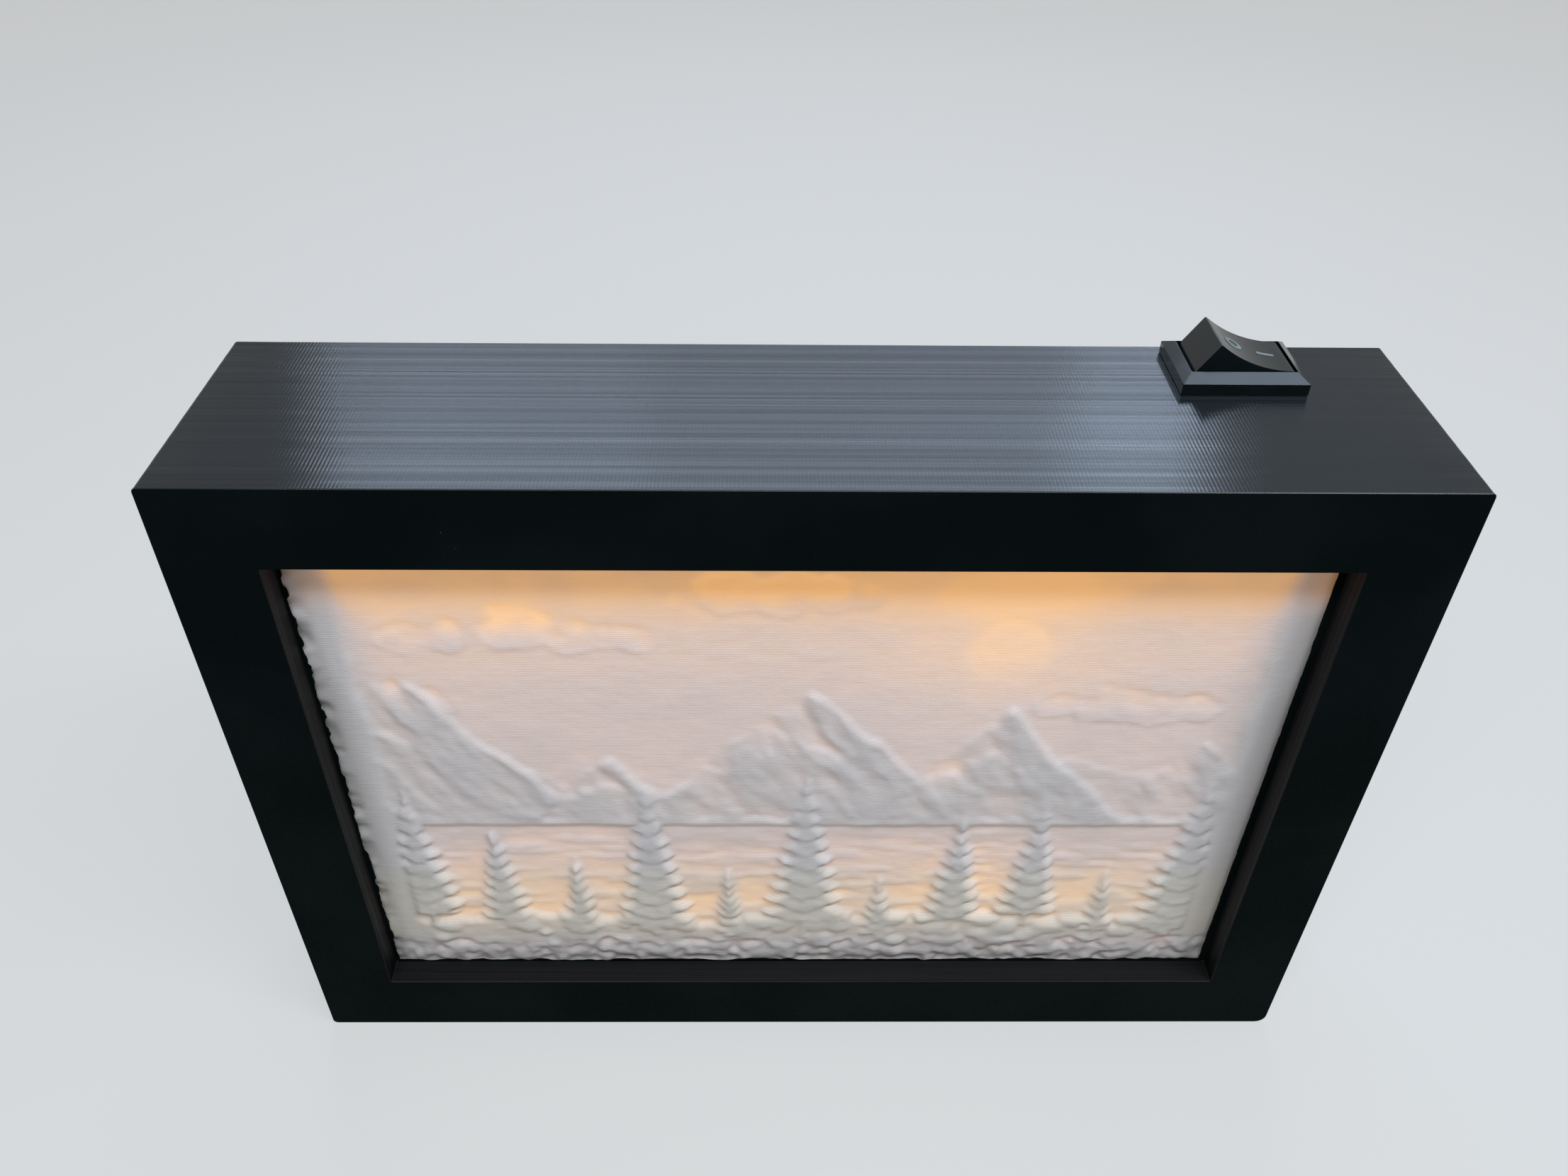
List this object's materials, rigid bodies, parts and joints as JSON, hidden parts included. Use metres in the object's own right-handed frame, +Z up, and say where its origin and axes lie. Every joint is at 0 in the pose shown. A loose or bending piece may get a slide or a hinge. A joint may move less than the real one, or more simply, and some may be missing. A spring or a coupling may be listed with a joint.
{
  "type": "lithophane light box",
  "caption": "Free-standing rectangular light box: a wide black border round a recessed white relief panel lit from behind, with a rocker switch in its top wall and a battery door in its back.",
  "frame": {"origin": "on the table, under the middle of the box", "axes": "+X to the right along the width, +Y to the back along the depth, +Z up"},
  "size_m": [0.2, 0.045, 0.1458],
  "materials": {
    "frame_black": "black printed plastic with fine layer lines",
    "cover_black": "black printed plastic with fine layer lines",
    "relief_white": "warm white printed plastic, lit from behind",
    "liner_white": "matte white printed plastic",
    "switch_black": "satin black moulded plastic",
    "steel": "zinc-plated steel",
    "black_steel": "black oxide steel",
    "brass": "brass",
    "copper": "copper alloy",
    "magnet": "nickel plated",
    "strip_film": "white printed film",
    "led_yellow": "warm white light-emitting chips",
    "resistor_black": "ceramic",
    "tray_black": "moulded plastic",
    "foam": "foam tape",
    "cell_sleeve": "plain sleeve",
    "plunger_nylon": "moulded plastic",
    "lead_red": "insulated wire",
    "lead_black": "insulated wire"
  },
  "bodies": {
    "box": {"frame": "frame_black", "lithophane_panel": "relief_white", "reflector_ring": "liner_white", "chamber_plate": "liner_white", "plate_screws": "steel", "led_strip": "strip_film", "led_chips": "led_yellow", "strip_resistors": "resistor_black", "back_cover": "cover_black", "threaded_inserts": "brass", "cover_screws": "black_steel", "cover_magnets": "magnet", "battery_tray": "tray_black", "tray_tape": "foam", "battery_cells": "cell_sleeve", "battery_springs": "steel", "battery_contacts": "steel", "switch_housing": "switch_black", "common_terminal": "brass", "line_terminal": "brass", "spade_receptacles": "brass", "lead_battery_to_switch": "lead_red", "lead_switch_to_strip": "lead_red", "lead_battery_to_strip": "lead_black"},
    "rocker": {"switch_rocker": "switch_black", "rocker_spring": "steel", "contact_plunger": "plunger_nylon"},
    "bridge": {"contact_bridge": "copper"},
    "door": {"battery_door": "cover_black", "door_magnets": "magnet"}
  },
  "joints": [
    {"name": "rocker_tilt", "type": "hinge", "parent": "box", "child": "rocker", "pos_m": [0.0708, 0.0132, 0.1386], "axis": [0, -1, 0], "range_deg": [0, 40]},
    {"name": "bridge_tilt", "type": "hinge", "parent": "box", "child": "bridge", "pos_m": [0.0708, 0.0132, 0.1302], "axis": [0, -1, 0], "range_deg": [-12, 0]},
    {"name": "door_swing", "type": "hinge", "parent": "box", "child": "door", "pos_m": [0, 0.02125, 0.0824], "axis": [1, 0, 0], "range_deg": [0, 100]}
  ],
  "couplings": [
    {"joint": "bridge_tilt", "follows": "rocker_tilt", "ratio": -0.3}
  ]
}
